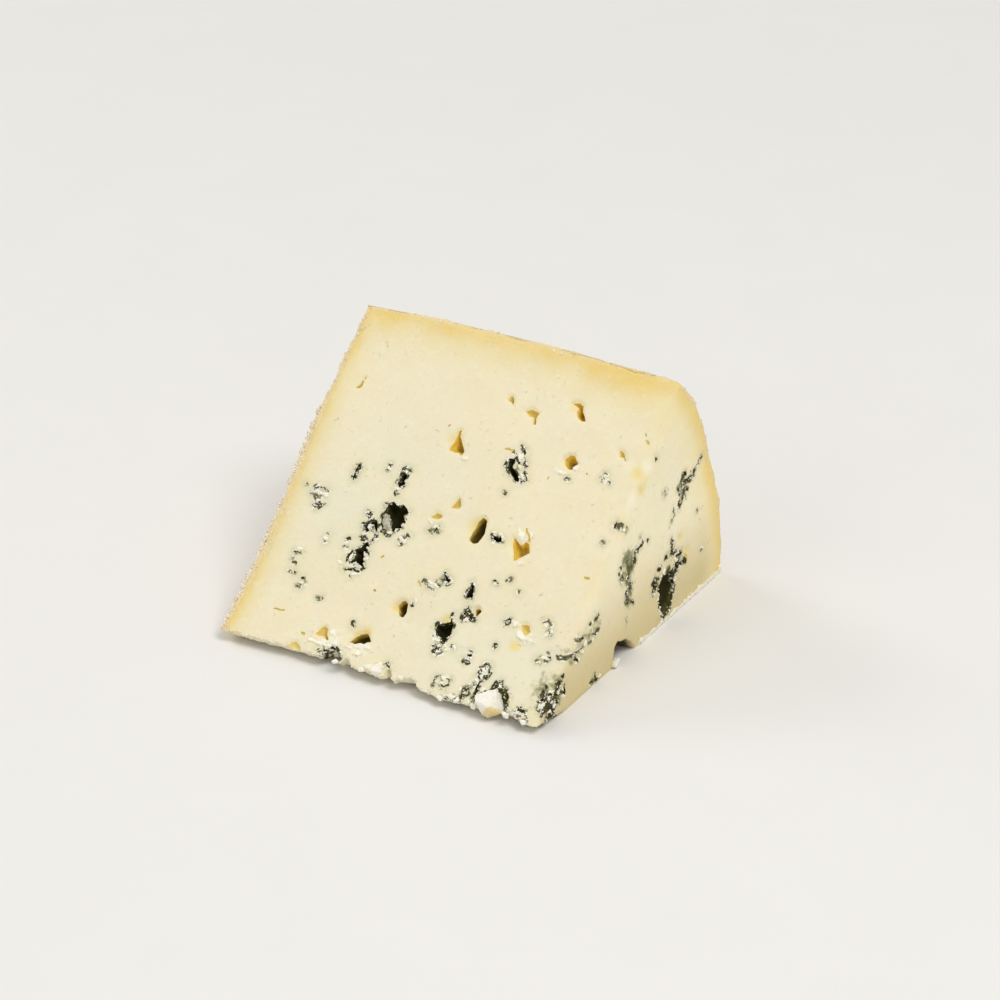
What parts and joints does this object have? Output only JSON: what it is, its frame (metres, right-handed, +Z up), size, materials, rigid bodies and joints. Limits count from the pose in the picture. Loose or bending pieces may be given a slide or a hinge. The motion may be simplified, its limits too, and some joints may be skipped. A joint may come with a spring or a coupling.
{
  "type": "blue cheese wedge",
  "caption": "Wedge of natural-rind blue cheese cut from a drum, lying on a radial cut, with open eyes and ragged mould pockets in its cut faces and a crumbly tip.",
  "frame": {"origin": "middle of the wedge's box, on the surface it lies on", "axes": "+X along the drum's axis from the rind end to the cross cut, +Y from the thin tip to the side rind, +Z up"},
  "size_m": [0.0948, 0.1018, 0.0674],
  "materials": {
    "cheese": "moist ivory paste, satin, yellower towards a tan rind"
  },
  "bodies": {
    "root": {"cheese_wedge": "cheese"}
  },
  "joints": []
}
